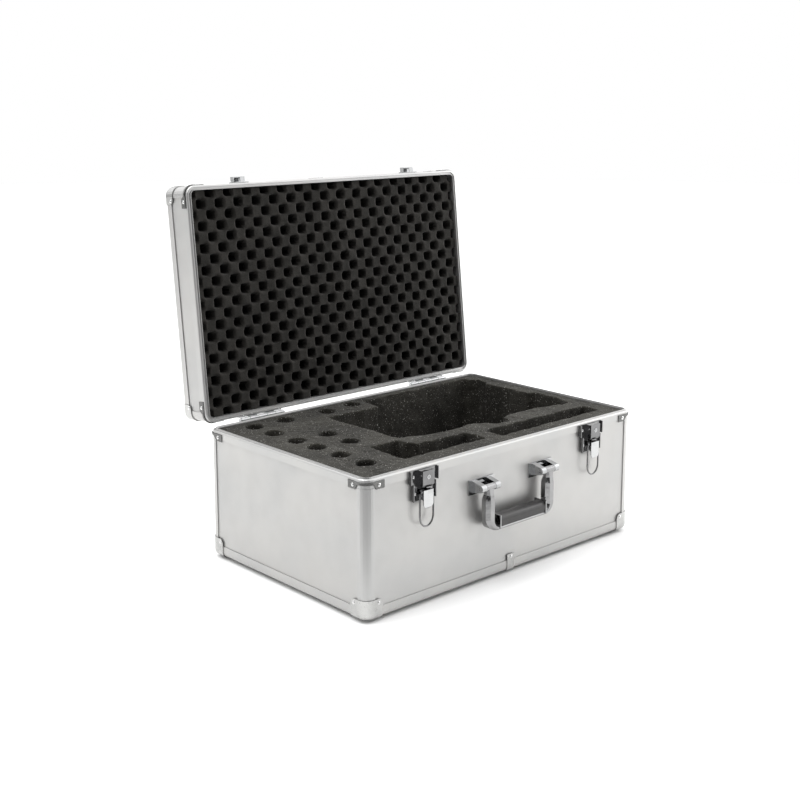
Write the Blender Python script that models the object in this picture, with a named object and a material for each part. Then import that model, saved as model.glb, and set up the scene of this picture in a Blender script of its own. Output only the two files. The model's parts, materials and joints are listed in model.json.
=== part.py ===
"""A telescope carry case: an aluminium-framed case with a hinged lid, cut foam inside, two lever latches and a handle.

Units are metres and +Z is up. The origin is the middle of the underside of the floor panel, +X is to the right of
someone facing the latches, and +Y goes from the latches to the hinges. The lid is modelled closed, around the hinge
axis, and its parent empty then turns it open. Each latch is modelled around the middle of its own place on the front.
"""

from math import asin, cos, degrees, pi, radians, sin

import bmesh
import bpy
from mathutils import Matrix, Vector

# ---- Driving dimensions ----
WIDTH = 0.620
DEPTH = 0.396
SEAM = 0.2148  # height of the base rim's closing face
SEAM_GAP = 0.0004  # between the two rims with the lid closed
LID_DEPTH = 0.068
LID_OPEN = radians(96.0)
GAP = 0.0003  # between pieces that touch
BITE = 0.0004  # overlap between shapes that are joined into one piece
CORNER = 0.016  # outer radius of the upright corners
EDGE = 0.008  # outer radius of the long edges at the top and bottom

# ---- Extrusions and panels: each extrusion is a slot between an outer and an inner wall ----
PANEL = 0.005
PANEL_INSET = 0.0015  # a panel's outer face, in from the extrusions' outer face
WALL = 0.0012
SLOT_IN = 0.0068  # inner side of the slot, in from the outer face
INNER = 0.008  # inner face of an extrusion
LEG = 0.0185  # how far a long edge's walls reach over its panels
POST_LEG = 0.0185
POST_SLOT = 0.0145
EDGE_SLOT = 0.009
RIM_TALL = 0.014
RIM_ROUND = 0.003
RIM_SLOT = 0.005
TONGUE_TALL = 0.002
GROOVE_DEEP = 0.0026

# ---- Corners and feet ----
CAP_THICK = 0.0012
CAP_ROUND = 0.009
BASE_CAP, LID_CAP = (0.033, 0.031), (0.029, 0.0245)  # how far a cap reaches along the faces, and up or down
FOOT_RADIUS = 0.010
FOOT_TIP_RADIUS = 0.0085
FOOT_BOTTOM = -0.0065
FOOT_X, FOOT_Y = 0.262, 0.167

# ---- Foam ----
FOAM_TOP = SEAM - 0.001
PAD_TOP = 0.035
HOLE_RADIUS = 0.0165
HOLE_DEEP = 0.090
POCKET_DEEP = 0.080
SLOT_DEEP = 0.060
LID_FOAM_RECESS = 0.0035

# ---- Hinges ----
HINGE_X = 0.197
HINGE_WIDE = 0.090
HINGE_OUT = 0.0055  # axis behind the back of the case
LEAF = 0.0015
LEAF_TALL = 0.026
KNUCKLE = 0.004
KNUCKLE_BORE = 0.0020
HINGE_PIN = 0.00175
KNUCKLES = 5
KNUCKLE_GAP = 0.0004

# ---- Latches, as distances across, out of the case's face and above the seam ----
LATCH_X = 0.1955
LOCK_HALF = 0.0118
LOCK_TOP, LOCK_BOTTOM, LOCK_OUT = -0.0035, -0.031, 0.013
LOCK_BEVEL, LOCK_BASE_OUT = -0.026, 0.0085
BARREL_UP, BARREL_RADIUS = -0.014, 0.0036
LEVER_UP, LEVER_OUT = -0.037, 0.008
LEVER_HALF = 0.010
BAIL_UP, BAIL_OUT = -0.042, 0.0085
BAIL_LONG, BAIL_HALF, BAIL_WIRE = 0.050, 0.0139, 0.0014
BAIL_BEND = 0.017  # how far up the rounded end reaches
EAR_HALF, EAR_ROUND = 0.007, 0.0034
PIVOT_PIN, PIVOT_BORE = 0.0015, 0.0019

# ---- Handle, as distances out of the case's face and above its pivot ----
HANDLE_X = 0.0697
PIVOT_UP, PIVOT_OUT = -0.0555, 0.0185
BRACKET_HALF, BRACKET_FOOT_HALF, BRACKET_TALL = 0.0208, 0.028, 0.009
KNUCKLE_HALF = 0.0104
HANDLE_PIN, HANDLE_BORE = 0.0021, 0.0025
GRIP_HALF, GRIP_DEEP = 0.052, 0.0245
TRAY_UP, TRAY_THICK = -0.0685, 0.0045
SET_BACK = 0.002  # how far the handle hangs behind its pivot

HALF_W, HALF_D = WIDTH / 2, DEPTH / 2
FRONT, BACK = -HALF_D, HALF_D
HINGE = Vector((0, BACK + HINGE_OUT, SEAM + SEAM_GAP / 2))
PANEL_IN = PANEL_INSET + PANEL
SIDES = (("left", -1), ("right", 1))
ENDS = (("front", -1), ("back", 1))


# ---- Materials ----
def material(name, colour, roughness, metallic):
    made = bpy.data.materials.new(name)
    made.use_nodes = True
    shader = made.node_tree.nodes["Principled BSDF"]
    shader.inputs["Base Color"].default_value = (*colour, 1)
    shader.inputs["Roughness"].default_value = roughness
    shader.inputs["Metallic"].default_value = metallic
    return made


for old in list(bpy.data.objects):
    bpy.data.objects.remove(old)

PANEL_SKIN = material("satin_aluminium_panel", (0.62, 0.62, 0.61), 0.45, 0.85)
EXTRUSION = material("bright_aluminium_extrusion", (0.78, 0.78, 0.77), 0.25, 1.0)
CHROME = material("chromed_steel", (0.75, 0.76, 0.76), 0.10, 1.0)
RUBBER = material("black_rubber", (0.02, 0.02, 0.02), 0.70, 0.0)
GRIP = material("black_grip", (0.03, 0.03, 0.03), 0.45, 0.0)
FOAM = material("grey_cut_foam", (0.09, 0.085, 0.08), 0.95, 0.0)
LID_FOAM = material("black_convoluted_foam", (0.02, 0.02, 0.02), 0.95, 0.0)


# ---- Building blocks ----
def face_out(bm):
    bmesh.ops.recalc_face_normals(bm, faces=bm.faces)
    if bm.calc_volume(signed=True) < 0:
        bmesh.ops.reverse_faces(bm, faces=bm.faces)


def finish(bm, name, skin, parent=None, location=(0, 0, 0)):
    """An object from a closed bmesh, smooth except across sharp edges."""
    face_out(bm)
    mesh = bpy.data.meshes.new(name)
    bm.to_mesh(mesh)
    bm.free()
    return place(mesh, name, skin, parent, location)


def place(mesh, name, skin, parent=None, location=(0, 0, 0)):
    mesh.shade_smooth()
    mesh.set_sharp_from_angle(angle=radians(35))
    mesh.materials.clear()
    mesh.materials.append(skin)
    made = bpy.data.objects.new(name, mesh)
    bpy.context.collection.objects.link(made)
    made.parent = parent
    made.location = location
    return made


def empty(name, location, tilt=0.0):
    made = bpy.data.objects.new(name, None)
    bpy.context.collection.objects.link(made)
    made.location = location
    made.rotation_euler = (tilt, 0, 0)
    return made


def box(low, high):
    bm = bmesh.new()
    size = [b - a for a, b in zip(low, high)]
    middle = [(a + b) / 2 for a, b in zip(low, high)]
    bmesh.ops.create_cube(bm, size=1, matrix=Matrix.Translation(middle) @ Matrix.Diagonal((*size, 1)))
    return bm


def cylinder(axis, centre, radius, low, high, sides=24, tip_radius=None):
    """A round bar along X, Y or Z from low to high, centred on the other two coordinates."""
    bm = bmesh.new()
    turn = {"X": Matrix.Rotation(pi / 2, 4, "Y"), "Y": Matrix.Rotation(-pi / 2, 4, "X"), "Z": Matrix()}[axis]
    middle = list(centre)
    middle.insert("XYZ".index(axis), (low + high) / 2)
    bmesh.ops.create_cone(
        bm,
        cap_ends=True,
        segments=sides,
        radius1=radius,
        radius2=radius if tip_radius is None else tip_radius,
        depth=high - low,
        matrix=Matrix.Translation(middle) @ turn,
    )
    return bm


def loft(rings, closed=False):
    """A skin through rings with the same number of points, capped unless it closes on itself."""
    bm = bmesh.new()
    rows = [[bm.verts.new(point) for point in ring] for ring in rings]
    last = len(rows) if closed else len(rows) - 1
    for i in range(last):
        here, there = rows[i], rows[(i + 1) % len(rows)]
        for j in range(len(here)):
            k = (j + 1) % len(here)
            bm.faces.new((here[j], here[k], there[k], there[j]))
    if not closed:
        bm.faces.new(rows[0])
        bm.faces.new(rows[-1])
    return bm


def prism(axis, outline, low, high):
    """An outline drawn across X, Y or Z and extruded along it. The outline's numbers are the other two coordinates."""
    at = "XYZ".index(axis)

    def lifted(value):
        return [tuple([*point[:at], value, *point[at:]]) for point in outline]

    return loft([lifted(low), lifted(high)])


def arc(centre, radius, start, end, steps):
    """Points along an arc; the angles are in degrees."""
    turns = [radians(start + (end - start) * i / steps) for i in range(steps + 1)]
    return [(centre[0] + radius * cos(t), centre[1] + radius * sin(t)) for t in turns]


def boolean(bm, others, operation):
    """The closed bmesh joined with, cut by or kept inside the others."""
    target = bpy.data.objects.new("shape", bpy.data.meshes.new("shape"))
    bpy.context.collection.objects.link(target)
    face_out(bm)
    bm.to_mesh(target.data)
    bm.free()
    tools = []
    for other in others:
        tool = bpy.data.objects.new("tool", bpy.data.meshes.new("tool"))
        bpy.context.collection.objects.link(tool)
        face_out(other)
        other.to_mesh(tool.data)
        other.free()
        step = target.modifiers.new("step", "BOOLEAN")
        step.operation = operation
        step.object = tool
        tools.append(tool)
    bpy.context.view_layer.update()
    evaluated = target.evaluated_get(bpy.context.evaluated_depsgraph_get())
    result = bmesh.new()
    result.from_mesh(evaluated.to_mesh())
    evaluated.to_mesh_clear()
    for used in (*tools, target):
        data = used.data
        bpy.data.objects.remove(used)
        bpy.data.meshes.remove(data)
    return result


def union(first, *others):
    return boolean(first, others, "UNION")


def cut(first, *others):
    return boolean(first, others, "DIFFERENCE")


def mirrored(bm, signs):
    """A copy of the bmesh with each coordinate multiplied by its sign."""
    made = bm.copy()
    for vert in made.verts:
        vert.co = Vector(c * s for c, s in zip(vert.co, signs))
    return made


def round_rectangle(inset, height, steps=5, offset=(0, 0, 0)):
    """The case's plan outline, this far in from its outer face, as one ring of points."""
    radius = max(CORNER - inset, 0.0004)
    reach_x, reach_y = HALF_W - inset - radius, HALF_D - inset - radius
    ring = []
    for turn, (sx, sy) in enumerate(((1, 1), (-1, 1), (-1, -1), (1, -1))):
        ring += arc((sx * reach_x, sy * reach_y), radius, 90 * turn, 90 * turn + 90, steps)
    return [(x - offset[0], y - offset[1], height - offset[2]) for x, y in ring]


def frame_ring(profile, base_height, offset=(0, 0, 0)):
    """A profile of (inset, height) points carried round the case's plan outline."""
    return loft([round_rectangle(i, base_height + h, offset=offset) for i, h in profile], closed=True)


# ---- Profiles ----
def edge_profile():
    """Section of a long edge: a rounded corner with a slot for an upright panel and one for a flat one."""
    return [
        *arc((EDGE, EDGE), EDGE, 180, 270, 5),
        (LEG, 0),
        (LEG, WALL),
        (EDGE_SLOT, WALL),
        (EDGE_SLOT, SLOT_IN),
        (LEG, SLOT_IN),
        (LEG, INNER),
        (INNER, INNER),
        (INNER, LEG),
        (SLOT_IN, LEG),
        (SLOT_IN, EDGE_SLOT),
        (WALL, EDGE_SLOT),
        (WALL, LEG),
        (0, LEG),
    ]


def rim_profile(bead):
    """Section of a closing rim, its closing face at height 0. The bead runs along the face, up or down."""
    return [
        (0, -RIM_TALL),
        *arc((RIM_ROUND, -RIM_ROUND), RIM_ROUND, 180, 90, 4),
        *bead,
        (INNER, 0),
        (INNER, -RIM_TALL),
        (SLOT_IN, -RIM_TALL),
        (SLOT_IN, -RIM_SLOT),
        (WALL, -RIM_SLOT),
        (WALL, -RIM_TALL),
    ]


TONGUE = [(0.0044, 0), (0.0048, TONGUE_TALL), (0.0062, TONGUE_TALL), (0.0066, 0)]
GROOVE = [(0.0037, 0), (0.0041, -GROOVE_DEEP), (0.0069, -GROOVE_DEEP), (0.0073, 0)]


def half_edge(sign, height, up, offset=(0, 0, 0)):
    """One half of a long edge frame, from mid-front round one end to mid-back. up is 1 at the base, -1 on the lid."""
    rings = []
    for inset, rise in edge_profile():
        ring = round_rectangle(inset, height + up * rise, offset=offset)
        quarter = len(ring) // 4
        side = ring[quarter : 3 * quarter] if sign < 0 else ring[3 * quarter :] + ring[:quarter]
        first, last = Vector(side[0]), Vector(side[-1])
        middle = sign * GAP / 2
        rings.append([(middle, first.y, first.z), *side, (middle, last.y, last.z)])
    return loft([list(row) for row in zip(*rings)])


def post_section():
    """Section of an upright corner, as distances in from the case's left and front faces."""
    outer = arc((CORNER, CORNER), CORNER, 180, 270, 6)
    inner = arc((CORNER, CORNER), CORNER - INNER, 270, 180, 4)
    return [
        (0, POST_LEG),
        *outer,
        (POST_LEG, 0),
        (POST_LEG, WALL),
        (POST_SLOT, WALL),
        (POST_SLOT, SLOT_IN),
        (POST_LEG, SLOT_IN),
        (POST_LEG, INNER),
        *inner,
        (INNER, POST_LEG),
        (SLOT_IN, POST_LEG),
        (SLOT_IN, POST_SLOT),
        (WALL, POST_SLOT),
        (WALL, POST_LEG),
    ]


def corner_cap(wide, tall):
    """A three-lug cap over the corner where two long edges and a post meet, at the origin, reaching +X, +Y and +Z."""
    far = 2 * wide

    def block(off):
        rings = []
        for drop, rise in [*arc((EDGE, EDGE), EDGE + off, 270, 180, 6), (-off, far)]:
            radius = CORNER - drop
            bend = arc((CORNER, CORNER), radius, 180, 270, 6)
            rings.append([(x, y, rise) for x, y in [(far, far), (drop, far), *bend, (far, drop)]])
        return loft(rings)

    outline = box((-wide, -wide, -tall), (wide, wide, tall))
    bmesh.ops.bevel(outline, geom=outline.edges[:], offset=CAP_ROUND, segments=5, profile=0.5, affect="EDGES")
    shell = cut(block(GAP + CAP_THICK), block(GAP))
    return boolean(shell, [outline], "INTERSECT")


# ---- Base and lid shells ----
def plan_panel(inset, low, high, offset=(0, 0, 0)):
    return loft([round_rectangle(inset, z, offset=offset) for z in (low, high)])


def upright_panels(prefix, low, high, parent=None, offset=(0, 0, 0)):
    """The four walls between the posts."""
    shift = Matrix.Translation([-c for c in offset])
    for end, sign in ENDS:
        outer = sign * (HALF_D - PANEL_INSET)
        inner = sign * (HALF_D - PANEL_IN)
        reach = HALF_W - POST_SLOT - GAP
        bm = box((-reach, min(outer, inner), low), (reach, max(outer, inner), high))
        bm.transform(shift)
        finish(bm, f"{prefix}_{end}_panel", PANEL_SKIN, parent)
    for side, sign in SIDES:
        outer = sign * (HALF_W - PANEL_INSET)
        inner = sign * (HALF_W - PANEL_IN)
        reach = HALF_D - POST_SLOT - GAP
        bm = box((min(outer, inner), -reach, low), (max(outer, inner), reach, high))
        bm.transform(shift)
        finish(bm, f"{prefix}_{side}_panel", PANEL_SKIN, parent)


def corner_posts(prefix, low, high, parent=None, offset=(0, 0, 0)):
    for end, sy in ENDS:
        for side, sx in SIDES:
            outline = [(sx * (HALF_W - u) - offset[0], sy * (HALF_D - v) - offset[1]) for u, v in post_section()]
            bm = prism("Z", outline, low - offset[2], high - offset[2])
            finish(bm, f"{prefix}_post_{end}_{side}", EXTRUSION, parent)


def corner_caps(prefix, reach, height, up, parent=None, offset=(0, 0, 0)):
    cap = corner_cap(*reach)
    for end, sy in ENDS:
        for side, sx in SIDES:
            bm = mirrored(cap, (-sx, -sy, up))
            bm.transform(Matrix.Translation(Vector((sx * HALF_W, sy * HALF_D, height)) - Vector(offset)))
            finish(bm, f"{prefix}_corner_{end}_{side}", CHROME, parent)
    cap.free()


def base_shell():
    bottom = -PANEL_INSET
    finish(plan_panel(EDGE_SLOT + GAP, 0, PANEL), "base_floor_panel", PANEL_SKIN)
    upright_panels("base", bottom + EDGE_SLOT + GAP, SEAM - RIM_SLOT - GAP)
    corner_posts("base", bottom + LEG + GAP, SEAM - RIM_TALL - GAP)
    for side, sign in SIDES:
        finish(half_edge(sign, bottom, 1), f"base_edge_{side}", EXTRUSION)
    finish(frame_ring(rim_profile(TONGUE), SEAM), "base_rim", EXTRUSION)
    corner_caps("base", BASE_CAP, bottom, 1)


def feet():
    for end, sy in ENDS:
        for side, sx in SIDES:
            bm = cylinder("Z", (sx * FOOT_X, sy * FOOT_Y), FOOT_TIP_RADIUS, FOOT_BOTTOM, -GAP, 24, FOOT_RADIUS)
            finish(bm, f"foot_{end}_{side}", RUBBER)


def lid_shell(lid):
    face = SEAM + SEAM_GAP
    top = face + LID_DEPTH
    around = {"parent": lid, "offset": HINGE}
    skin_top = top - PANEL_INSET
    finish(plan_panel(EDGE_SLOT + GAP, skin_top - PANEL, skin_top, HINGE), "lid_top_panel", PANEL_SKIN, lid)
    upright_panels("lid", face + RIM_SLOT + GAP, top - EDGE_SLOT - GAP, **around)
    corner_posts("lid", face + RIM_TALL + GAP, top - LEG - GAP, **around)
    for side, sign in SIDES:
        finish(half_edge(sign, top, -1, HINGE), f"lid_edge_{side}", EXTRUSION, lid)
    upside_down = [(inset, -height) for inset, height in rim_profile(GROOVE)]
    finish(frame_ring(upside_down, face, HINGE), "lid_rim", EXTRUSION, lid)
    corner_caps("lid", LID_CAP, top, -1, **around)


# ---- Foam ----
def eyepiece_holes():
    """Middles of the round holes: a row along the left end, a shorter row beside it and three near the back."""
    end_row = [(-0.246, y) for y in (-0.126, -0.067, -0.008, 0.044, 0.104, 0.158)]
    second_row = [(-0.185, -0.018), (-0.184, 0.040), (-0.180, 0.160)]
    back_row = [(-0.090, 0.160), (-0.026, 0.167)]
    return end_row + second_row + back_row


def compartments():
    """Outline and floor height of each cut-out: the long tube bay, the pocket and the slot in front of it."""
    bay = [
        (-0.116, -0.056),
        (-0.090, -0.062),
        (-0.076, -0.071),
        (-0.048, -0.076),
        (0.040, -0.074),
        (0.059, -0.080),
        (0.065, -0.101),
        (0.102, -0.102),
        (0.106, -0.080),
        (0.120, -0.074),
        (0.196, -0.074),
        (0.228, -0.080),
        (0.272, -0.087),
        (0.284, -0.056),
        (0.283, 0.002),
        (0.271, 0.012),
        (0.270, 0.078),
        (0.266, 0.114),
        (0.280, 0.124),
        (0.281, 0.150),
        (0.270, 0.162),
        (0.266, 0.174),
        (0.006, 0.172),
        (0.000, 0.124),
        (-0.116, 0.124),
    ]
    pocket = [
        (-0.189, -0.149),
        (-0.010, -0.151),
        (-0.010, -0.104),
        (-0.080, -0.105),
        (-0.114, -0.100),
        (-0.126, -0.082),
        (-0.126, -0.066),
        (-0.184, -0.064),
    ]
    slot = [
        (0.020, -0.152),
        (0.026, -0.157),
        (0.270, -0.156),
        (0.272, -0.121),
        (0.120, -0.118),
        (0.032, -0.119),
        (0.019, -0.125),
    ]
    return (bay, PAD_TOP - LEG), (pocket, FOAM_TOP - POCKET_DEEP), (slot, FOAM_TOP - SLOT_DEEP)


def foam():
    block = plan_panel(INNER + GAP, PAD_TOP + GAP, FOAM_TOP)
    above = FOAM_TOP + LEG
    tools = [prism("Z", outline, floor, above) for outline, floor in compartments()]
    tools += [cylinder("Z", spot, HOLE_RADIUS, FOAM_TOP - HOLE_DEEP, above, 20) for spot in eyepiece_holes()]
    finish(cut(block, *tools), "foam_insert", FOAM)
    low = -PANEL_INSET + LEG + GAP
    rise = PANEL + GAP
    steps = [(LEG + GAP, rise), (LEG + GAP, low), (INNER + GAP, low), (INNER + GAP, PAD_TOP)]
    finish(loft([round_rectangle(inset, z) for inset, z in steps]), "foam_floor_pad", FOAM)


def lid_foam(lid):
    low = SEAM + SEAM_GAP + LID_FOAM_RECESS
    high = SEAM + SEAM_GAP + LID_DEPTH - LEG - GAP
    top = SEAM + SEAM_GAP + LID_DEPTH - PANEL_IN - GAP
    steps = [(INNER + GAP, low), (INNER + GAP, high), (LEG + GAP, high), (LEG + GAP, top)]
    bm = loft([round_rectangle(inset, z, offset=HINGE) for inset, z in steps])
    finish(bm, "lid_foam", LID_FOAM, lid)


# ---- Hinges ----
def knuckle_spans(turn):
    """The lengths of barrel, along the hinge, that belong to the base leaf (0) or the lid leaf (1)."""
    length = HINGE_WIDE / KNUCKLES
    starts = [-HINGE_WIDE / 2 + i * length for i in range(KNUCKLES)]
    return [(x + KNUCKLE_GAP / 2, x + length - KNUCKLE_GAP / 2) for x in starts[turn::2]]


def hinge_leaf(turn):
    """A leaf standing above the hinge axis: a comb-shaped plate, with each tab webbed to its length of barrel."""
    near = -HINGE_OUT + GAP
    half, tip, root = HINGE_WIDE / 2, KNUCKLE + LEAF_TALL, KNUCKLE + GAP
    web_low, web_high = KNUCKLE * 0.55, KNUCKLE * 0.95
    comb = [(half, tip), (-half, tip), (-half, root)]
    for low, high in knuckle_spans(turn):
        comb += [(low, root), (low, web_low - GAP), (high, web_low - GAP), (high, root)]
    comb.append((half, root))
    outline = [point for i, point in enumerate(comb) if point != comb[i - 1]]
    pieces = [prism("Y", outline, near, near + LEAF)]
    bores = []
    round_from, round_to = 180 - degrees(asin(web_low / KNUCKLE)), 540 - degrees(asin(web_high / KNUCKLE))
    barrel = [(near + GAP, web_low), *arc((0, 0), KNUCKLE, round_from, round_to, 20), (near + GAP, web_high)]
    for low, high in knuckle_spans(turn):
        pieces.append(prism("X", barrel, low + KNUCKLE_GAP / 4, high - KNUCKLE_GAP / 4))
        bores.append(cylinder("X", (0, 0), KNUCKLE_BORE, low - GAP, high + GAP, 16))
    return cut(union(*pieces), *bores)


def hinges(lid):
    for side, sign in SIDES:
        place_at = (sign * HINGE_X, HINGE.y, HINGE.z)
        half = HINGE_WIDE / 2
        pin = cylinder("X", (0, 0), HINGE_PIN, -half, half, 16)
        head = cylinder("X", (0, 0), KNUCKLE * 0.85, half - KNUCKLE_GAP / 2 - GAP, half + LEAF)
        tail = cylinder("X", (0, 0), KNUCKLE * 0.85, -half - LEAF, -half + KNUCKLE_GAP / 2 + GAP)
        fixed = union(mirrored(hinge_leaf(0), (1, 1, -1)), pin, head, tail)
        finish(fixed, f"hinge_{side}_base_leaf", CHROME, None, place_at)
        finish(hinge_leaf(1), f"hinge_{side}_lid_leaf", CHROME, lid, (sign * HINGE_X, 0, 0))


# ---- Latches ----
def latch_point(across, out, above, pivot=(0, 0, 0)):
    """A latch place, as across, out of the face and above the seam, in the frame of a pivot given the same way."""
    return (across - pivot[0], -(out - pivot[1]), above - pivot[2])


def latch_box(across, out, above, pivot=(0, 0, 0)):
    low = latch_point(across[0], out[1], above[0], pivot)
    high = latch_point(across[1], out[0], above[1], pivot)
    return box(low, high)


def latch_side(outline, low, high, pivot=(0, 0, 0)):
    """A side view, as out of the face and above the seam, extruded across from low to high."""
    return prism("X", [latch_point(0, out, above, pivot)[1:] for out, above in outline], low, high)


def latch_bar(out, above, radius, low, high, pivot=(0, 0, 0), sides=16):
    return cylinder("X", latch_point(0, out, above, pivot)[1:], radius, low, high, sides)


def latch_plate():
    """The riveted plate with its turned edges, the lock housing and the two ears that carry the lever."""
    flange_out = 0.0055
    wide, narrow, step = 0.0285, 0.0235, -0.0245
    top, bottom = -0.0035, -0.0515
    steps = [(narrow, bottom), (narrow, step), (wide, step), (wide, top)]
    plate = [(x - BITE, z) for x, z in steps] + [(BITE - x, z) for x, z in reversed(steps)]
    foot = GAP + BITE
    block = [
        (foot, LOCK_BOTTOM),
        (LOCK_BASE_OUT, LOCK_BOTTOM),
        (LOCK_OUT, LOCK_BEVEL),
        (LOCK_OUT, LOCK_TOP - 0.0005),
        (foot, LOCK_TOP - 0.0005),
    ]
    pieces = [latch_side(block, -LOCK_HALF, LOCK_HALF), prism("Y", plate, -GAP - LEAF, -GAP)]
    ear_back = GAP + 2 * BITE
    ear = [
        (ear_back, LEVER_UP - 0.0055),
        *arc((LEVER_OUT, LEVER_UP), EAR_ROUND, -90, 90, 8),
        (ear_back, LEVER_UP + 0.0015),
    ]
    for sign in (-1, 1):
        upper = sorted((sign * wide, sign * (wide - LEAF)))
        lower = sorted((sign * narrow, sign * (narrow - LEAF)))
        pieces.append(latch_box(upper, (foot, flange_out), (step + BITE, top - BITE)))
        pieces.append(latch_box(lower, (foot, flange_out), (bottom + BITE, step - BITE)))
        pieces.append(latch_side(ear, *sorted((sign * EAR_HALF, sign * (EAR_HALF - LEAF)))))
    bores = [latch_bar(LEVER_OUT, LEVER_UP, PIVOT_BORE, -LEVER_HALF, LEVER_HALF)]
    bores.append(cylinder("Y", (0, BARREL_UP), BARREL_RADIUS + GAP, -LOCK_OUT - GAP, 0.0073 - LOCK_OUT))
    return cut(union(*pieces), *bores)


def key_barrel():
    """The turning core of the lock, around its own front face, with the slot that takes the key."""
    core = cylinder("Y", (0, 0), BARREL_RADIUS, -0.0005, 0.0068)
    return cut(core, box((-0.0005, -0.0010, -0.0022), (0.0005, 0.0030, 0.0022)))


def latch_lever():
    """The lever around its pivot: a channel that ends in a rounded tongue, with the pivot pin through its walls."""
    pivot = (0, LEVER_OUT, LEVER_UP)
    front, back, thick = 0.013, 0.0055, 0.0013
    top = LEVER_UP + 0.0027
    curl, outer = (0.0095, -0.0600), 0.0035
    web = [
        (front, top),
        (front, -0.0590),
        *arc(curl, outer, 10, -60, 4),
        *arc(curl, outer - thick, -60, 10, 4),
        (front - thick, -0.0590),
        (front - thick, top),
    ]
    wall = [(back, top), (front, top), (front, -0.0505), (back + 0.001, -0.0475)]
    low = curl[1] - outer - LEVER_UP
    round_end = arc((0, low + LEVER_HALF), LEVER_HALF + GAP, 180, 360, 12)
    outline = [(LEVER_HALF + GAP, 0.0050), (-LEVER_HALF - GAP, 0.0050), *round_end]
    tongue = boolean(latch_side(web, -LEVER_HALF, LEVER_HALF, pivot), [prism("Y", outline, -0.02, 0.02)], "INTERSECT")
    pieces = [tongue]
    bores = []
    for sign in (-1, 1):
        side = sorted((sign * LEVER_HALF, sign * (LEVER_HALF - thick)))
        pieces.append(latch_side(wall, *side, pivot))
        beyond = (side[0] - GAP, side[1] + GAP)
        bores.append(latch_bar(BAIL_OUT, BAIL_UP, BAIL_WIRE + GAP, *beyond, pivot))
    pieces.append(latch_bar(LEVER_OUT, LEVER_UP, PIVOT_PIN, -LEVER_HALF + GAP, LEVER_HALF - GAP, pivot))
    return cut(union(*pieces), *bores)


def bail_path():
    """The wire's centre line around the bail's pivot, from one hooked end to the other."""
    bottom = -BAIL_LONG
    corner = bottom + BAIL_BEND
    inner = LEVER_HALF - 0.0018
    hook = 0.0020
    left = [(-inner, 0), *arc((-BAIL_HALF + hook, -hook), hook, 90, 180, 3)]
    left += [(x * BAIL_HALF, corner + z * BAIL_BEND) for x, z in arc((0, 0), 1, 180, 270, 8)]
    return left + [(-x, z) for x, z in reversed(left[:-1])]


def tube(path, radius, sides=8):
    """A round wire along a path of (x, z) points in the plane y = 0."""
    points = [Vector((x, 0, z)) for x, z in path]
    rings = []
    for i, point in enumerate(points):
        ahead = points[min(i + 1, len(points) - 1)] - point
        behind = point - points[max(i - 1, 0)]
        along = (ahead.normalized() + behind.normalized()).normalized()
        across = Vector((0, 1, 0))
        other = along.cross(across)
        spread = 1 / max(along.dot((ahead if ahead.length else behind).normalized()), 0.5)
        turns = [2 * pi * j / sides for j in range(sides)]
        rings.append([point + radius * (across * cos(t) + other * sin(t) * spread) for t in turns])
    return loft(rings)


def striker():
    """The lid's hook plate around the seam line: the bail drops behind its upturned lip."""
    skin = GAP + LEAF
    hook = [
        (GAP, 0.0024),
        (0.0091, 0.0034),
        (0.0091, 0.0082),
        (0.0078, 0.0082),
        (0.0078, 0.0048),
        (GAP, 0.0040),
    ]
    plate = latch_box((-0.013, 0.013), (GAP, skin), (0.002, 0.024))
    block = latch_box((-0.0115, 0.0115), (GAP + BITE, 0.0105), (0.0120, 0.0215))
    return union(plate, block, latch_side(hook, -0.0045, 0.0045))


def latches(lid):
    for side, sign in SIDES:
        middle = sign * LATCH_X
        seam = Vector((middle, FRONT, SEAM))
        finish(latch_plate(), f"latch_{side}_plate", CHROME, None, seam)
        barrel_at = seam + Vector((0, -LOCK_OUT, BARREL_UP))
        finish(key_barrel(), f"latch_{side}_key_barrel", CHROME, None, barrel_at)
        lever_at = empty(f"latch_{side}_lever_pivot", seam + Vector((0, -LEVER_OUT, LEVER_UP)))
        finish(latch_lever(), f"latch_{side}_lever", CHROME, lever_at)
        bail_at = empty(f"latch_{side}_bail_pivot", (0, LEVER_OUT - BAIL_OUT, BAIL_UP - LEVER_UP))
        bail_at.parent = lever_at
        finish(tube(bail_path(), BAIL_WIRE), f"latch_{side}_bail", CHROME, bail_at)
        hook_at = Vector((middle, FRONT, SEAM + SEAM_GAP)) - HINGE
        finish(striker(), f"lid_striker_{side}", CHROME, lid, hook_at)


# ---- Handle ----
def handle_bracket():
    """The plate on the front panel and the two ears around the pivot, which is at the origin."""
    back = PIVOT_OUT + PANEL_INSET - GAP  # the panel's face, behind the pivot
    half, foot, tall = BRACKET_HALF, BRACKET_FOOT_HALF, BRACKET_TALL
    slot = KNUCKLE_HALF + GAP
    rear = back - 0.001
    side = [(rear, tall + 0.001), *arc((0, 0), 0.006, 90, 270, 10), (rear, -tall - 0.001)]
    pieces = [
        box((-foot, back - 0.0022, -tall - 0.004), (foot, back, tall + 0.002)),
        box((-slot - BITE, 0.0130, -tall), (slot + BITE, rear, tall - 0.003)),
    ]
    for sign in (-1, 1):
        pieces.append(prism("X", side, *sorted((sign * slot, sign * half))))
    return cut(union(*pieces), cylinder("X", (0, 0), HANDLE_BORE, -half - GAP, half + GAP, 16))


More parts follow.
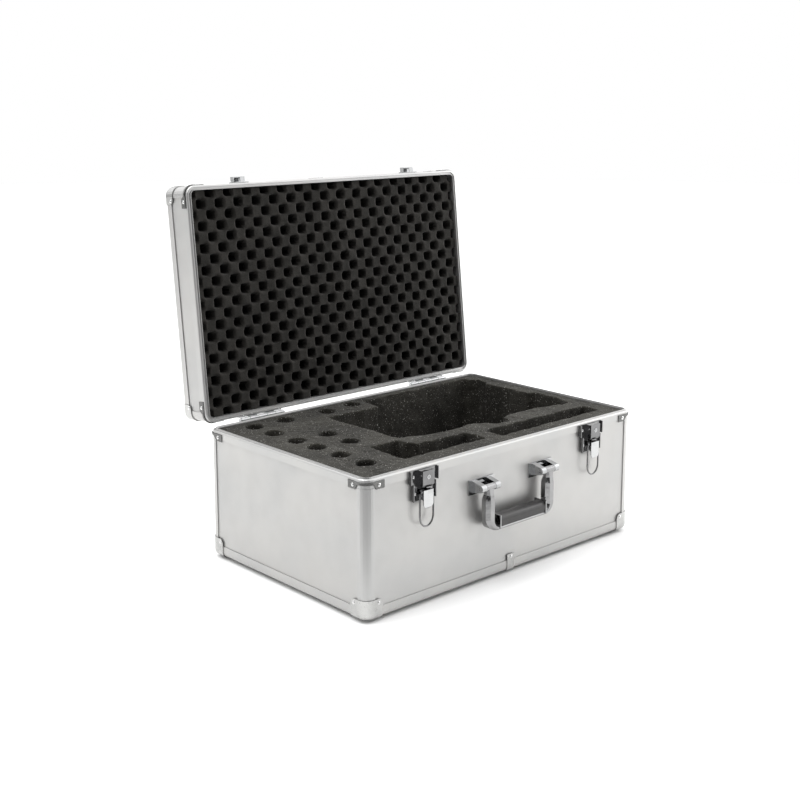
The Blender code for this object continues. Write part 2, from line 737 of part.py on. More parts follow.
def handle_section(x, z, turn, thick, deep, back):
    """An eight-sided section across the handle's path; turn is the path's direction in degrees, back how far
    the section's middle lies behind the pivot."""
    side = Vector((-sin(radians(turn)), 0, cos(radians(turn))))
    out = Vector((0, 1, 0))
    t, d, c = thick / 2, deep / 2, min(thick, deep) * 0.28
    corners = [(t, d - c), (t - c, d), (c - t, d), (-t, d - c), (-t, c - d), (c - t, -d), (t - c, -d), (t, c - d)]
    return [Vector((x, back, z)) + side * a + out * b for a, b in corners]


def handle_frame():
    """The chromed frame around its pivot: two arms that bend into a tray, and the collars that hold the grip."""
    bend = 0.016
    corner_x, corner_z = HANDLE_X - bend, TRAY_UP + bend
    arm, arm_top, deep = 0.0203, 0.0165, 0.0200
    left = [(-HANDLE_X, -0.002, -90, arm_top, 0.0110, 0), (-HANDLE_X, -0.012, -90, arm_top, 0.0150, 0.001)]
    left += [(-HANDLE_X, -0.021, -90, arm, deep, SET_BACK), (-HANDLE_X, corner_z + 0.006, -90, arm, deep, SET_BACK)]
    for i, (x, z) in enumerate(arc((-corner_x, corner_z), bend, 180, 270, 5)):
        share = i / 5
        left.append((x, z, -90 + 90 * share, arm + (TRAY_THICK - arm) * share, deep + 0.003 * share, SET_BACK))
    right = [(-x, z, -turn, thick, d, back) for x, z, turn, thick, d, back in reversed(left)]
    pieces = [loft([handle_section(*place) for place in left + right])]
    bores = []
    for sign in (-1, 1):
        middle = sign * HANDLE_X
        knuckle = (middle - KNUCKLE_HALF, middle + KNUCKLE_HALF)
        pieces.append(cylinder("X", (0, 0), 0.0058, *knuckle))
        bores.append(cylinder("X", (0, 0), HANDLE_BORE, knuckle[0] - GAP, knuckle[1] + GAP, 16))
        collar = sorted((sign * (GRIP_HALF + GAP), sign * (GRIP_HALF + 0.0026)))
        near, far = SET_BACK - 0.0127, SET_BACK + 0.0122
        pieces.append(box((collar[0], near, TRAY_UP - 0.001), (collar[1], far, TRAY_UP + 0.0208)))
    return cut(union(*pieces), *bores)


def handle_grip():
    """The crowned grip that lies on the tray, around the handle's pivot."""
    half = GRIP_DEEP / 2
    low = TRAY_UP + TRAY_THICK / 2 + GAP
    side = low + 0.0090
    crown = [(SET_BACK + half * cos(radians(a)), side + 0.0088 * sin(radians(a))) for a in range(0, 181, 15)]
    outline = [(SET_BACK + half - 0.001, low), *crown, (SET_BACK - half + 0.001, low)]
    return prism("X", outline, -GRIP_HALF, GRIP_HALF)


def handle():
    pivot = Vector((0, FRONT - PIVOT_OUT, SEAM + PIVOT_UP))
    for side, sign in SIDES:
        at = pivot + Vector((sign * HANDLE_X, 0, 0))
        finish(handle_bracket(), f"handle_bracket_{side}", CHROME, None, at)
        pin = cylinder("X", (0, 0), HANDLE_PIN, -BRACKET_HALF + GAP, BRACKET_HALF - GAP, 16)
        finish(pin, f"handle_pin_{side}", CHROME, None, at)
    swing = empty("handle_pivot", pivot)
    finish(handle_frame(), "handle_frame", CHROME, swing)
    finish(handle_grip(), "handle_grip", GRIP, swing)


lid_pivot = empty("lid_hinge_axis", HINGE, -LID_OPEN)
base_shell()
feet()
foam()
lid_shell(lid_pivot)
lid_foam(lid_pivot)
hinges(lid_pivot)
latches(lid_pivot)
handle()
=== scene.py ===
"""The looks of the telescope carry case: materials, foam, rivets, braces and clips around the CAD frame."""

import json
from math import cos, pi, radians, sin

import bmesh
import bpy
from mathutils import Matrix, Vector, noise


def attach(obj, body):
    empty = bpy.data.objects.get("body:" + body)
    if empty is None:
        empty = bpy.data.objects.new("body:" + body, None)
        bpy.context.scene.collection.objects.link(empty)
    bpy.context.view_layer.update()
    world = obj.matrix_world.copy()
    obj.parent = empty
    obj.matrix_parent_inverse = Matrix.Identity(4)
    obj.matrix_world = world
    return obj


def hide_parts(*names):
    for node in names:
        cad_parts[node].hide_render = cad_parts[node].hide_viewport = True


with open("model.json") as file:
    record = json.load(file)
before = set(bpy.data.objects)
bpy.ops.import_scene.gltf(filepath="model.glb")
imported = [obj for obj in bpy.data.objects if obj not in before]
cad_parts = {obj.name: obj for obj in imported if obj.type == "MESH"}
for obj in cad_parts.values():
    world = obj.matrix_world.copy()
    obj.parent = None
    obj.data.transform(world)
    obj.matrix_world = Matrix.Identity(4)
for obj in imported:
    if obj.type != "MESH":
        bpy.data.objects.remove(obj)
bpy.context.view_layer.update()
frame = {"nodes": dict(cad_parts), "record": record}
noise.seed_set(1)  # otherwise noise_vector starts from the clock

# ---- Where things are, in metres, with the lid closed; the case's middle is x = 0, y = 0 ----
HALF_W, HALF_D = 0.310, 0.198  # to the outer faces of the walls
SEAM, LID_FACE, LID_TOP = 0.2148, 0.2152, 0.2832  # the base rim's face, the lid rim's face, the lid's top
BOTTOM = -0.0015  # underside of the base, without the feet
FLOOR = -0.0065  # what the feet stand on
HINGE = Vector((0, 0.2035, 0.2150))
OPEN = Matrix.Translation(HINGE) @ Matrix.Rotation(-radians(96), 4, "X") @ Matrix.Translation(-HINGE)
CORNER = 0.016  # radius of the upright corners
EDGE = 0.008  # radius of the long edges
INNER = 0.0083  # from the outer face to the foam
FOAM_LOW, PAD_TOP, FOAM_TOP = 0.0053, 0.035, 0.2138
POCKET_DEEP, SLOT_DEEP, HOLE_DEEP = 0.080, 0.060, 0.090
THROUGH = 0.01  # below the foam block, so that the bay is cut right through it
HOLE_RADIUS = 0.0158
PIT_ACROSS, PIT_ALONG, PIT_DEEP = 0.0375, 0.037, 0.028  # spacing and depth of the lid foam's pits
LATCH_X, HINGE_X = 0.1955, 0.197
LEAF = 0.0018  # how far the hinge leaves and the latch plates stand off the walls
BRACE_REACH, BRACE_RIVET = 0.037, 0.0265  # of a rim brace's plate along each wall, and of its rivet
SIDES, ENDS = (-1, 1), (-1, 1)


# ---- Materials ----
class Paint:
    """A Principled material and the procedural nodes that give it its grain."""

    def __init__(self, name, colour, roughness, metallic=0.0, **sockets):
        self.made = bpy.data.materials.new(name)
        self.made.use_nodes = True
        self.tree = self.made.node_tree
        self.shader = self.tree.nodes["Principled BSDF"]
        self.shader.inputs["Base Color"].default_value = (*colour, 1)
        self.shader.inputs["Roughness"].default_value = roughness
        self.shader.inputs["Metallic"].default_value = metallic
        for key, value in sockets.items():
            self.shader.inputs[key.replace("_", " ")].default_value = value
        self.place = self.tree.nodes.new("ShaderNodeTexCoord").outputs["Object"]
        self.height = None

    def add(self, kind, **inputs):
        """A new node, its inputs linked to sockets or set to numbers."""
        node = self.tree.nodes.new(kind)
        for key, value in inputs.items():
            socket = node.inputs[key.replace("_", " ")]
            if isinstance(value, bpy.types.NodeSocket):
                self.tree.links.new(value, socket)
            else:
                socket.default_value = value
        return node

    def noise(self, scale, detail, roughness=0.5):
        inputs = {"Vector": self.place, "Scale": scale, "Detail": detail, "Roughness": roughness}
        return self.add("ShaderNodeTexNoise", **inputs).outputs[0]

    def cells(self, scale):
        return self.add("ShaderNodeTexVoronoi", Vector=self.place, Scale=scale).outputs[0]

    def spread(self, value, low, high, to_low=0.0, to_high=1.0):
        """The value, stretched so that low and high become the two ends, with a soft start and finish."""
        node = self.tree.nodes.new("ShaderNodeMapRange")
        node.interpolation_type = "SMOOTHSTEP"
        self.tree.links.new(value, node.inputs["Value"])
        for key, number in zip(("From Min", "From Max", "To Min", "To Max"), (low, high, to_low, to_high)):
            node.inputs[key].default_value = number
        return node.outputs["Result"]

    def mix(self, share, first, second):
        node = self.tree.nodes.new("ShaderNodeMix")
        node.data_type = "RGBA"
        self.tree.links.new(share, node.inputs[0])
        for socket, value in ((node.inputs[6], first), (node.inputs[7], second)):
            if isinstance(value, bpy.types.NodeSocket):
                self.tree.links.new(value, socket)
            else:
                socket.default_value = (*value, 1)
        return node.outputs[2]

    def colour(self, value):
        self.tree.links.new(value, self.shader.inputs["Base Color"])

    def rough(self, value):
        self.tree.links.new(value, self.shader.inputs["Roughness"])

    def bump(self, value, distance, strength=1.0):
        node = self.add("ShaderNodeBump", Height=value, Distance=distance, Strength=strength)
        if self.height is not None:
            self.tree.links.new(self.height, node.inputs["Normal"])
        self.height = node.outputs["Normal"]
        self.tree.links.new(self.height, self.shader.inputs["Normal"])


def panel_skin():
    """Satin aluminium-faced board: fine even grain with faint cloudiness."""
    paint = Paint("satin_panel", (0.47, 0.47, 0.465), 0.42, 0.70)
    cloud = paint.noise(7, 3)
    paint.colour(paint.mix(paint.spread(cloud, 0.3, 0.7), (0.452, 0.452, 0.450), (0.490, 0.485, 0.476)))
    paint.rough(paint.spread(paint.noise(40, 4), 0.25, 0.75, 0.36, 0.46))
    paint.bump(paint.noise(2600, 2), 0.00005, 0.25)
    paint.bump(paint.noise(9, 2), 0.003, 0.04)
    return paint.made


def extrusion_skin():
    """Satin anodised aluminium, the tone of the panels, with faint handling marks."""
    paint = Paint("bright_extrusion", (0.48, 0.48, 0.475), 0.36, 0.75)
    tone = paint.spread(paint.noise(9, 3), 0.3, 0.7)
    paint.colour(paint.mix(tone, (0.462, 0.462, 0.460), (0.496, 0.491, 0.482)))
    paint.rough(paint.spread(paint.noise(60, 3), 0.3, 0.75, 0.33, 0.38))
    paint.bump(paint.noise(14, 2), 0.002, 0.02)
    return paint.made


def chrome_skin(name, colour, roughness, wave):
    """Plated steel, slightly wavy, with faint smears."""
    paint = Paint(name, colour, roughness, 1.0)
    paint.rough(paint.spread(paint.noise(90, 4), 0.35, 0.8, roughness, roughness + 0.12))
    smears = paint.spread(paint.noise(60, 3), 0.35, 0.7)
    paint.colour(paint.mix(smears, colour, tuple(c * 0.86 for c in colour)))
    paint.bump(paint.noise(70, 2), 0.0010, wave)
    return paint.made


def rubber_skin():
    """Matt black rubber."""
    paint = Paint("foot_rubber", (0.02, 0.02, 0.02), 0.75)
    paint.colour(paint.mix(paint.noise(200, 3), (0.012, 0.012, 0.012), (0.035, 0.034, 0.033)))
    paint.rough(paint.spread(paint.noise(300, 2), 0.3, 0.7, 0.65, 0.85))
    paint.bump(paint.noise(900, 3), 0.0002, 0.4)
    return paint.made


def grip_skin():
    """Black moulded grip with a fine leather-like grain."""
    paint = Paint("black_grip", (0.022, 0.021, 0.021), 0.38)
    paint.colour(paint.mix(paint.noise(120, 3), (0.016, 0.015, 0.015), (0.032, 0.030, 0.030)))
    paint.rough(paint.spread(paint.noise(500, 2), 0.3, 0.7, 0.30, 0.46))
    paint.bump(paint.cells(950), 0.00018, 0.35)
    return paint.made


def foam_skin():
    """Charcoal open-cell foam: dark pores, which are painted shade in the cells' holes, light specks and a
    soft bloom where it is seen edge on.
    """
    paint = Paint("base_foam", (0.05, 0.048, 0.044), 0.95, Sheen_Weight=0.08, Sheen_Roughness=0.5)
    paint.shader.inputs["Specular IOR Level"].default_value = 0.12
    cloud = paint.spread(paint.noise(14, 4), 0.3, 0.7)
    body = paint.mix(cloud, (0.018, 0.017, 0.014), (0.038, 0.036, 0.030))
    # Painted shade: the pores' holes are darkened in the colour.
    pores = paint.spread(paint.cells(420), 0.12, 0.45)
    body = paint.mix(pores, (0.010, 0.009, 0.008), body)
    specks = paint.spread(paint.noise(380, 2, roughness=0.7), 0.63, 0.70)
    paint.colour(paint.mix(specks, body, (0.34, 0.33, 0.31)))
    paint.bump(paint.noise(420, 3), 0.0012, 0.8)
    paint.bump(paint.noise(60, 2), 0.002, 0.35)
    return paint.made


def lid_foam_skin(name, depth):
    """Black convoluted foam: the same cells, finer, and darker the deeper they lie, as painted shade; depth
    is the share of the full tone and sheen that is left.
    """
    paint = Paint(name, (0.03, 0.03, 0.031), 0.95, Sheen_Weight=0.10 * depth, Sheen_Roughness=0.5)
    paint.shader.inputs["Specular IOR Level"].default_value = 0.12
    low, high = [tuple(c * depth for c in tone) for tone in ((0.020, 0.019, 0.017), (0.032, 0.030, 0.027))]
    body = paint.mix(paint.spread(paint.noise(30, 4), 0.3, 0.7), low, high)
    # Painted shade: the pores' holes are darkened in the colour.
    pores = paint.spread(paint.cells(700), 0.1, 0.45)
    paint.colour(paint.mix(pores, tuple(c * 0.3 for c in low), body))
    paint.bump(paint.noise(520, 3), 0.0009, 0.6)
    return paint.made


PANEL = panel_skin()
EXTRUSION = extrusion_skin()
# The chromed parts are one plating, painted here in several tones that stand for what the metal reflects. The
# plain chrome is toned down as a painted dark reflection. The handle frames, latch plates and bails are
# darker still, as painted dark reflections. The levers are lighter, as a painted bright reflection. The rim
# braces are darkest, as painted shade.
CHROME = chrome_skin("chromed_steel", (0.42, 0.425, 0.43), 0.08, 0.25)
LEVER_LIT_CHROME = chrome_skin("lever_chrome_painted_bright_reflection", (0.50, 0.505, 0.51), 0.12, 0.25)
HANDLE_SHADED_CHROME = chrome_skin("handle_chrome_painted_dark_reflection", (0.30, 0.30, 0.303), 0.06, 0.5)
LOCK_SHADED_CHROME = chrome_skin("lock_chrome_painted_dark_reflection", (0.20, 0.20, 0.203), 0.10, 0.6)
BRACE = chrome_skin("brace_steel_painted_shade", (0.15, 0.15, 0.148), 0.22, 0.2)
CAP = chrome_skin("corner_steel", (0.50, 0.50, 0.495), 0.20, 0.12)
RIVET = chrome_skin("rivet_steel", (0.70, 0.70, 0.70), 0.14, 0.12)
RUBBER = rubber_skin()
GRIP = grip_skin()
FOAM = foam_skin()
# The lid foam in three tones: full on the ridges, darker on the slopes and darkest in the pits, as painted
# shade in the pits.
LID_FOAM = lid_foam_skin("lid_foam", 1.0)
LID_SLOPE_SHADED = lid_foam_skin("lid_foam_slope_painted_shade", 0.55)
LID_PIT_SHADED = lid_foam_skin("lid_foam_pit_painted_shade", 0.16)

SLOTS = {
    "satin_panel": PANEL,
    "bright_extrusion": EXTRUSION,
    "chromed_steel": CHROME,
    "foot_rubber": RUBBER,
    "black_grip": GRIP,
    "base_foam": FOAM,
    "lid_foam": LID_FOAM,
}
# Nodes whose material is not their slot's usual one, by a part of their names: the latch plates, bails,
# levers and handle frames take the chrome copies with painted reflections, and the corner caps take the
# corner steel
BY_NAME = {"_plate": LOCK_SHADED_CHROME, "_bail": LOCK_SHADED_CHROME, "_lever": LEVER_LIT_CHROME, "handle_frame": HANDLE_SHADED_CHROME, "_corner_": CAP}
for part in frame["record"]["subparts"]:
    named = [made for words, made in BY_NAME.items() if words in part["node"]]
    skin = named[0] if named else SLOTS[part["material_slot"]]
    for held in frame["nodes"][part["node"]].material_slots:
        held.material = skin


# ---- Building blocks ----
def piece(bm, name, skin, body, angle):
    """A finished mesh that rides on a body; edges sharper than the angle, in degrees, stay crisp."""
    bmesh.ops.recalc_face_normals(bm, faces=bm.faces)
    mesh = bpy.data.meshes.new(name)
    bm.to_mesh(mesh)
    bm.free()
    mesh.shade_smooth()
    mesh.set_sharp_from_angle(angle=radians(angle))
    mesh.materials.append(skin)
    made = bpy.data.objects.new(name, mesh)
    bpy.context.collection.objects.link(made)
    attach(made, body)
    return made


def loft(bm, rings):
    """A closed skin over rings of points, capped at both ends."""
    rows = [[bm.verts.new(point) for point in ring] for ring in rings]
    for here, there in zip(rows, rows[1:]):
        for j in range(len(here)):
            k = (j + 1) % len(here)
            bm.faces.new((here[j], here[k], there[k], there[j]))
    bm.faces.new(rows[0])
    bm.faces.new(rows[-1])


def rivet(bm, at, normal, radius=0.0030, rise=0.0013):
    """A domed rivet head with a small rim, standing on a face."""
    normal = Vector(normal).normalized()
    side = normal.orthogonal().normalized()
    other = normal.cross(side)
    profile = [(1.0, -0.3), (1.0, 0.25), (0.94, 0.42), (0.80, 0.50), (0.60, 0.78), (0.30, 0.96), (0.05, 1.0)]
    turns = [2 * pi * i / 18 for i in range(18)]
    rings = []
    for wide, high in profile:
        centre = Vector(at) + normal * rise * high
        rings.append([centre + (side * cos(t) + other * sin(t)) * radius * wide for t in turns])
    loft(bm, rings)


# ---- Foam ----
def foam_outline(inset, z):
    """The case's plan with its rounded corners, this far inside the outer faces."""
    radius = CORNER - inset
    ring = []
    for turn, (sx, sy) in enumerate(((1, 1), (-1, 1), (-1, -1), (1, -1))):
        for step in range(5):
            t = radians(90 * turn + 22.5 * step)
            x = sx * (HALF_W - CORNER) + radius * cos(t)
            ring.append((x, sy * (HALF_D - CORNER) + radius * sin(t), z))
    return ring


def solid_object(bm, name):
    """An object of a closed bmesh, its faces turned outwards, for modifiers to work on."""
    mesh = bpy.data.meshes.new(name)
    bmesh.ops.recalc_face_normals(bm, faces=bm.faces)
    if bm.calc_volume(signed=True) < 0:
        bmesh.ops.reverse_faces(bm, faces=bm.faces)
    bm.to_mesh(mesh)
    bm.free()
    made = bpy.data.objects.new(name, mesh)
    bpy.context.collection.objects.link(made)
    return made


def applied(made):
    """A bmesh of the object with its modifiers applied; the object is removed."""
    bpy.context.view_layer.update()
    result = bmesh.new()
    result.from_object(made, bpy.context.evaluated_depsgraph_get())
    bpy.data.objects.remove(made)
    return result


# The cut-outs, seen from above
BAY = [
    (-0.116, -0.056),
    (-0.090, -0.062),
    (-0.076, -0.071),
    (-0.048, -0.076),
    (0.040, -0.074),
    (0.059, -0.080),
    (0.065, -0.101),
    (0.102, -0.102),
    (0.106, -0.080),
    (0.120, -0.074),
    (0.196, -0.074),
    (0.228, -0.080),
    (0.272, -0.087),
    (0.284, -0.056),
    (0.283, 0.002),
    (0.271, 0.012),
    (0.270, 0.078),
    (0.266, 0.114),
    (0.280, 0.124),
    (0.281, 0.150),
    (0.270, 0.162),
    (0.266, 0.174),
    (0.006, 0.172),
    (0.000, 0.124),
    (-0.116, 0.124),
]
POCKET = [
    (-0.189, -0.149),
    (-0.010, -0.151),
    (-0.010, -0.104),
    (-0.080, -0.105),
    (-0.114, -0.100),
    (-0.126, -0.082),
    (-0.126, -0.066),
    (-0.184, -0.064),
]
SLOT = [
    (0.020, -0.152),
    (0.026, -0.157),
    (0.270, -0.156),
    (0.272, -0.121),
    (0.120, -0.118),
    (0.032, -0.119),
    (0.019, -0.125),
]
HOLES = [(-0.246, y) for y in (-0.126, -0.067, -0.008, 0.044, 0.104, 0.158)]
HOLES += [(-0.185, -0.018), (-0.184, 0.040), (-0.180, 0.160)]
HOLES += [(-0.090, 0.160), (-0.026, 0.167)]


def base_foam():
    """The cut block: sawn walls that wander a little, rounded lips and torn-looking cells."""
    block = bmesh.new()
    loft(block, [foam_outline(INNER, PAD_TOP + 0.0004), foam_outline(INNER, FOAM_TOP)])
    made = solid_object(block, "foam_block")
    cuts = [(BAY, THROUGH), (POCKET, FOAM_TOP - POCKET_DEEP), (SLOT, FOAM_TOP - SLOT_DEEP)]
    turns = [2 * pi * i / 28 for i in range(28)]
    for x, y in HOLES:
        hole = [(x + HOLE_RADIUS * cos(t), y + HOLE_RADIUS * sin(t)) for t in turns]
        cuts.append((hole, FOAM_TOP - HOLE_DEEP))
    cutters = []
    for outline, floor in cuts:
        bm = bmesh.new()
        loft(bm, [[(x, y, z) for x, y in outline] for z in (floor, FOAM_TOP + 0.02)])
        cutters.append(solid_object(bm, "foam_cutter"))
    for cutter in cutters:
        step = made.modifiers.new("cut", "BOOLEAN")
        step.operation, step.object = "DIFFERENCE", cutter
    remesh = made.modifiers.new("cells", "REMESH")
    remesh.mode, remesh.voxel_size = "VOXEL", 0.0024
    soften = made.modifiers.new("soften", "SMOOTH")
    soften.factor, soften.iterations = 0.5, 2
    bm = applied(made)
    for cutter in cutters:
        bpy.data.objects.remove(cutter)
    straight = 0.012  # this close to the case, and at the foot, the foam keeps its shape
    for vert in bm.verts:
        x, y, z = vert.co
        if abs(x) <= HALF_W - straight and abs(y) <= HALF_D - straight and z >= PAD_TOP + 0.004:
            wander = noise.noise_vector(vert.co * 45) * 0.0016 + noise.noise_vector(vert.co * 190) * 0.0009
            vert.co += wander
            vert.co.z = min(vert.co.z, FOAM_TOP + 0.0004)
    made = piece(bm, "cut_foam", FOAM, "case", 180)
    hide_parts("foam_insert")


def floor_pad():
    """The pad under the bay, slightly uneven."""
    bm = bmesh.new()
    step_in, step_up = 0.0188, 0.0173  # the pad is smaller at its foot, inside the long edges
    steps = [(step_in, FOAM_LOW), (step_in, step_up), (INNER, step_up)]
    steps += [(INNER, PAD_TOP - 0.002), (INNER + 0.002, PAD_TOP)]
    loft(bm, [foam_outline(inset, z) for inset, z in steps])
    made = solid_object(bm, "pad_block")
    remesh = made.modifiers.new("cells", "REMESH")
    remesh.mode, remesh.voxel_size = "VOXEL", 0.0045
    bm = applied(made)
    for vert in bm.verts:
        if vert.co.z > PAD_TOP - 0.006:
            vert.co.z += 0.0012 * noise.noise(vert.co * 40) - 0.0012
    made = piece(bm, "floor_pad", FOAM, "case", 180)
    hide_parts("foam_floor_pad")


def rounded(x, y, wide, tall, radius):
    """The point, drawn in where it lies past a rectangle's rounded corner."""
    over_x, over_y = max(abs(x) - wide + radius, 0), max(abs(y) - tall + radius, 0)
    reach = (over_x**2 + over_y**2) ** 0.5
    if over_x and over_y and reach > radius:
        x -= (over_x - over_x * radius / reach) * (1 if x > 0 else -1)
        y -= (over_y - over_y * radius / reach) * (1 if y > 0 else -1)
    return x, y


def pit_share(x, y):
    """How deep the staggered pits are here, from 0 on a ridge to 1 on a pit's floor."""
    wave = cos(2 * pi * x / PIT_ACROSS) * cos(2 * pi * y / PIT_ALONG)
    share = min(max(0.5 * wave / 0.38, 0), 1)
    return share * share * (3 - 2 * share)


def lid_foam():
    """Egg-crate foam: staggered pits between soft ridges, over a flat back."""
    face, back = LID_FACE + 0.0050, LID_FACE + 0.049
    wide, tall = HALF_W - INNER - 0.0005, HALF_D - INNER - 0.0005
    columns, rows = 230, 150
    bm = bmesh.new()
    grid = []
    for j in range(rows + 1):
        line = []
        for i in range(columns + 1):
            x, y = rounded(-wide + 2 * wide * i / columns, -tall + 2 * tall * j / rows, wide, tall, 0.008)
            rough = 0.0012 * noise.noise(Vector((x * 60, y * 60, 0)))
            rough += 0.0006 * noise.noise(Vector((x * 300, y * 300, 5)))
            line.append(bm.verts.new((x, y, face + PIT_DEEP * pit_share(x, y) + rough)))
        grid.append(line)
    for j in range(rows):
        for i in range(columns):
            made = bm.faces.new((grid[j][i], grid[j][i + 1], grid[j + 1][i + 1], grid[j + 1][i]))
            sunk = (made.calc_center_median().z - face) / PIT_DEEP
            # Painted shade: the deeper a face lies in a pit, the darker copy of the foam it takes.
            made.material_index = 2 if sunk > 0.55 else 1 if sunk > 0.16 else 0
    border = [edge for edge in bm.edges if edge.is_boundary]
    grown = bmesh.ops.extrude_edge_only(bm, edges=border)["geom"]
    for vert in (g for g in grown if isinstance(g, bmesh.types.BMVert)):
        vert.co.z = back
    rim = [edge for edge in bm.edges if edge.is_boundary]
    bmesh.ops.holes_fill(bm, edges=rim, sides=0)
    bm.transform(OPEN)
    made = piece(bm, "convoluted_foam", LID_FOAM, "lid", 70)
    for skin in (LID_SLOPE_SHADED, LID_PIT_SHADED):
        made.data.materials.append(skin)
    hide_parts("lid_foam")


# ---- Trim ----
def corner_path(sx, sy, reach):
    """Points round an upright corner, each with its outward direction and how far along its wall it is."""
    centre = Vector((sx * (HALF_W - CORNER), sy * (HALF_D - CORNER), 0))
    path = []
    for step in range(5):
        along = reach + (CORNER - reach) * step / 4
        path.append((Vector((sx * HALF_W, sy * (HALF_D - along), 0)), Vector((sx, 0, 0)), along))
    for step in range(1, 10):
        t = radians(90 * step / 10)
        out = Vector((sx * cos(t), sy * sin(t), 0))
        path.append((centre + out * CORNER, out, 0))
    for step in range(4, -1, -1):
        along = reach + (CORNER - reach) * step / 4
        path.append((Vector((sx * (HALF_W - along), sy * HALF_D, 0)), Vector((0, sy, 0)), along))
    return path


def rim_brace(bm, sx, sy, face, up, rivets):
    """A brace round a rim's corner: a riveted plate on each face, joined by a bead under the rim's edge."""
    rings = []
    for spot, out, along in corner_path(sx, sy, BRACE_REACH):
        low, high = (-0.0170, -0.0040) if along > CORNER else (-0.0092, -0.0046)
        swell = 0.0013 if along > CORNER else 0.0019
        edge = 0.0006
        section = [(0.0001, high), (swell, high - edge), (swell, low + edge), (0.0001, low)]
        rings.append([spot + out * o + Vector((0, 0, face + up * z)) for o, z in section])
    loft(bm, rings)
    ends = corner_path(sx, sy, BRACE_RIVET)
    for spot, out, _ in (ends[0], ends[-1]):
        rivet(rivets, spot + Vector((0, 0, face + up * -0.0105)) + out * 0.0012, out, 0.0031, 0.0016)


def joint_clip(bm, x, sy, height, up, rivets):
    """A bent clip over the butt joint of a long edge: down its face, round it and a little way under."""
    outline = []
    for off in (0.0002, 0.0014):
        radius = EDGE + off
        bend = [(EDGE - radius * cos(radians(a)), EDGE - radius * sin(radians(a))) for a in range(0, 91, 15)]
        outline.append([(-off, 0.0285), *bend, (0.013, -off)])
    section = outline[0] + outline[1][::-1]
    sides = (-0.0080, -0.0070, 0.0070, 0.0080)
    loft(bm, [[(x + across, sy * (HALF_D - n), height + up * h) for n, h in section] for across in sides])
    rivet(rivets, (x + 0.001, sy * (HALF_D + 0.0013), height + up * 0.0235), (0, sy, 0), 0.0028, 0.0014)


def cap_rivets(rivets, height, up, along, rise):
    """A rivet in each lug of the corner caps: on the end face, the side face and under or over them."""
    out, inwards = 0.0014, 0.0215
    level = height + up * rise
    for sx in SIDES:
        for sy in ENDS:
            rivet(rivets, (sx * (HALF_W - along), sy * (HALF_D + out), level), (0, sy, 0))
            rivet(rivets, (sx * (HALF_W + out), sy * (HALF_D - along - 0.001), level), (sx, 0, 0))
            flat = (sx * (HALF_W - inwards), sy * (HALF_D - inwards), height - up * out)
            rivet(rivets, flat, (0, 0, -up), 0.003, 0.001)


def latch_rivets(rivets):
    """Two rivets down each side of a latch plate; the plate is narrower at the foot."""
    for side in SIDES:
        for across in (-0.0202, 0.0202):
            for drop, shift in ((-0.0135, 0), (-0.0400, -0.003)):
                x = side * LATCH_X + across + (shift if across > 0 else -shift)
                rivet(rivets, (x, -HALF_D - LEAF, SEAM + drop), (0, -1, 0), 0.0024, 0.0012)


def lid_rivets(rivets):
    """Two rivets in each striker's plate, and the screws in the lid's closing face over the hinges."""
    for side in SIDES:
        for across in (-0.0102, 0.0102):
            spot = (side * LATCH_X + across, -HALF_D - LEAF, LID_FACE + 0.0195)
            rivet(rivets, spot, (0, -1, 0), 0.0019, 0.0009)
        for across in (-0.046, -0.028, 0.028, 0.046):
            spot = (side * 0.190 + across, HALF_D - 0.0020, LID_FACE + 0.0003)
            rivet(rivets, spot, (0, 0, -1), 0.0015, 0.0004)


def hinge_rivets(rivets, height):
    """Three rivets in each hinge leaf."""
    for side in SIDES:
        for across in (-0.032, 0, 0.032):
            rivet(rivets, (side * HINGE_X + across, HALF_D + LEAF, height), (0, 1, 0), 0.003, 0.0012)


def trim(body, face, up, height, cap_along, cap_rise, own_rivets):
    """Braces, clips and rivets of one half of the case; up points from its outer face to its closing face."""
    metal, clips, heads = bmesh.new(), bmesh.new(), bmesh.new()
    for sx in SIDES:
        for sy in ENDS:
            rim_brace(metal, sx, sy, face, up, heads)
    for sy in ENDS:
        joint_clip(clips, 0.001, sy, height, up, heads)
    cap_rivets(heads, height, up, cap_along, cap_rise)
    hinge_rivets(heads, HINGE.z - up * 0.020)
    own_rivets(heads)
    if body == "lid":
        for made in (metal, clips, heads):
            made.transform(OPEN)
    # the braces take the steel painted darkest, as painted shade
    piece(metal, f"{body}_braces", BRACE, body, 30)
    piece(clips, f"{body}_clips", CAP, body, 30)
    piece(heads, f"{body}_rivets", RIVET, body, 50)


# ---- Stage ----
def stage_floor():
    """A plain pale floor, which stands in for a grey card where the metal in front reflects it."""
    bm = bmesh.new()
    bmesh.ops.create_circle(bm, cap_ends=True, segments=96, radius=9.0)
    mesh = bpy.data.meshes.new("floor")
    bm.to_mesh(mesh)
    bm.free()
    floor = bpy.data.objects.new("floor", mesh)
    floor.location.z = FLOOR
    paint = Paint("floor_sweep", (0.9, 0.9, 0.9), 0.65)
    pale = paint.mix(paint.noise(3, 2), (0.895, 0.895, 0.895), (0.905, 0.905, 0.905))
    seen = paint.add("ShaderNodeLightPath").outputs["Is Camera Ray"]
    forward = paint.add("ShaderNodeVectorMath", Vector=paint.place)
    forward.operation = "DOT_PRODUCT"
    forward.inputs[1].default_value = (-0.65, -0.76, 0)
    near = paint.spread(forward.outputs["Value"], 0.40, 0.75)
    card = paint.mix(near, (0.88, 0.88, 0.87), (0.38, 0.38, 0.38))
    paint.colour(paint.mix(seen, card, pale))
    mesh.materials.append(paint.made)
    bpy.context.collection.objects.link(floor)


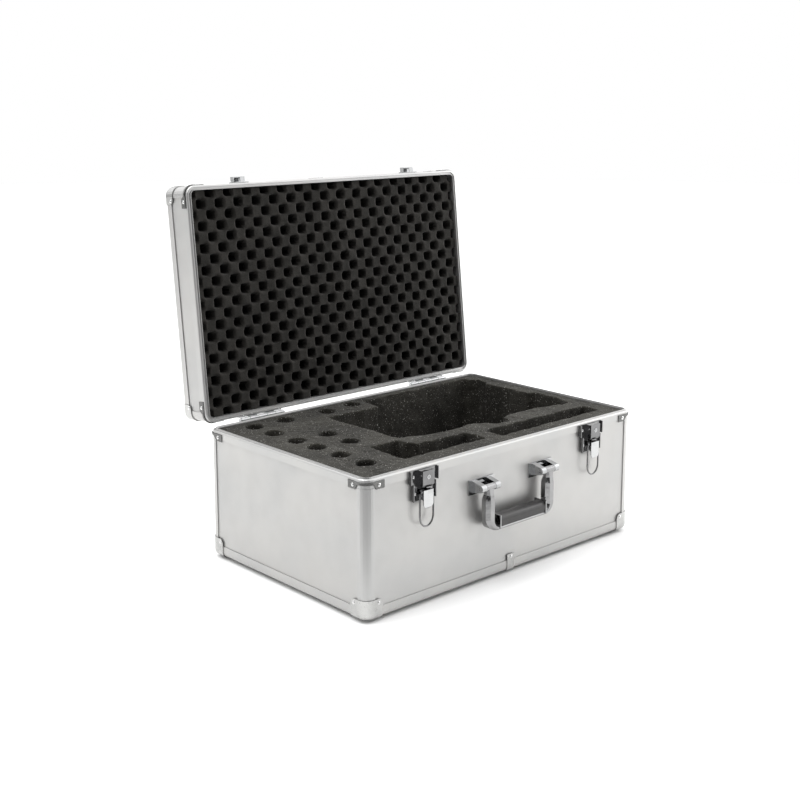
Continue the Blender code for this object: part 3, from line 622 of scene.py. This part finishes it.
def lobe(tree, direction, start, end, low, high):
    """A soft patch of sky: low away from the direction, high towards it."""
    where = tree.nodes.new("ShaderNodeTexCoord").outputs["Generated"]
    dot = tree.nodes.new("ShaderNodeVectorMath")
    dot.operation = "DOT_PRODUCT"
    dot.inputs[1].default_value = Vector(direction).normalized()
    tree.links.new(where, dot.inputs[0])
    ranged = tree.nodes.new("ShaderNodeMapRange")
    ranged.interpolation_type = "SMOOTHSTEP"
    tree.links.new(dot.outputs["Value"], ranged.inputs["Value"])
    for key, number in zip(("From Min", "From Max", "To Min", "To Max"), (start, end, low, high)):
        ranged.inputs[key].default_value = number
    return ranged.outputs["Result"]


def join(tree, kind, first, second):
    node = tree.nodes.new("ShaderNodeMath")
    node.operation = kind
    tree.links.new(first, node.inputs[0])
    tree.links.new(second, node.inputs[1])
    return node.outputs[0]


def studio_world():
    """A soft studio, white behind the case, with brighter and darker stretches that the metal reflects."""
    world = bpy.data.worlds.new("studio")
    world.use_nodes = True
    bpy.context.scene.world = world
    tree = world.node_tree
    front = lobe(tree, (-0.45, -0.90, 0.12), 0.35, 0.97, 1.0, 0.20)
    above = lobe(tree, (0, 0.1, 1), 0.10, 0.8, 0.55, 1.9)
    right = lobe(tree, (0.85, -0.5, 0.1), 0.70, 0.96, 0.0, 1.3)
    left = lobe(tree, (-0.8, 0.6, 0.1), 0.55, 0.95, 0.0, 0.15)
    light = join(tree, "ADD", join(tree, "MULTIPLY", front, above), join(tree, "ADD", right, left))
    seen = tree.nodes.new("ShaderNodeLightPath").outputs["Is Camera Ray"]
    mixed = tree.nodes.new("ShaderNodeMix")
    tree.links.new(seen, mixed.inputs[0])
    tree.links.new(light, mixed.inputs[2])
    mixed.inputs[3].default_value = 1.0
    back = tree.nodes["Background"]
    tree.links.new(mixed.outputs[0], back.inputs["Strength"])
    back.inputs["Color"].default_value = (1, 1, 1, 1)


def lamp(name, at, to, size, power):
    data = bpy.data.lights.new(name, "AREA")
    data.shape, data.size, data.size_y, data.energy = "RECTANGLE", *size, power
    made = bpy.data.objects.new(name, data)
    made.location = at
    made.rotation_euler = (Vector(to) - Vector(at)).to_track_quat("-Z", "Y").to_euler()
    bpy.context.collection.objects.link(made)


def photo_camera():
    """The camera at the photograph's angle, with the vertical shift that keeps its uprights parallel."""
    data = bpy.data.cameras.new("camera")
    data.sensor_width, data.lens, data.shift_y = 36.0, 57.249, -0.1
    camera = bpy.data.objects.new("camera", data)
    camera.location = (-1.45845, -1.52941, 0.76899)
    camera.rotation_euler = (radians(90 - 10.266), 0, radians(-42.422))
    bpy.context.collection.objects.link(camera)
    bpy.context.scene.camera = camera
    bpy.context.scene.view_settings.view_transform = "Standard"


base_foam()
floor_pad()
lid_foam()
trim("case", SEAM, 1, BOTTOM, 0.0250, 0.0245, latch_rivets)
trim("lid", LID_FACE, -1, LID_TOP, 0.0225, 0.0185, lid_rivets)
stage_floor()
studio_world()
lamp("key", (-0.8, 0.5, 2.4), (0, 0, 0.1), (1.6, 1.6), 26)
lamp("right_strip", (2.2, -0.6, 1.0), (0, 0, 0.15), (0.7, 1.6), 14)
photo_camera()
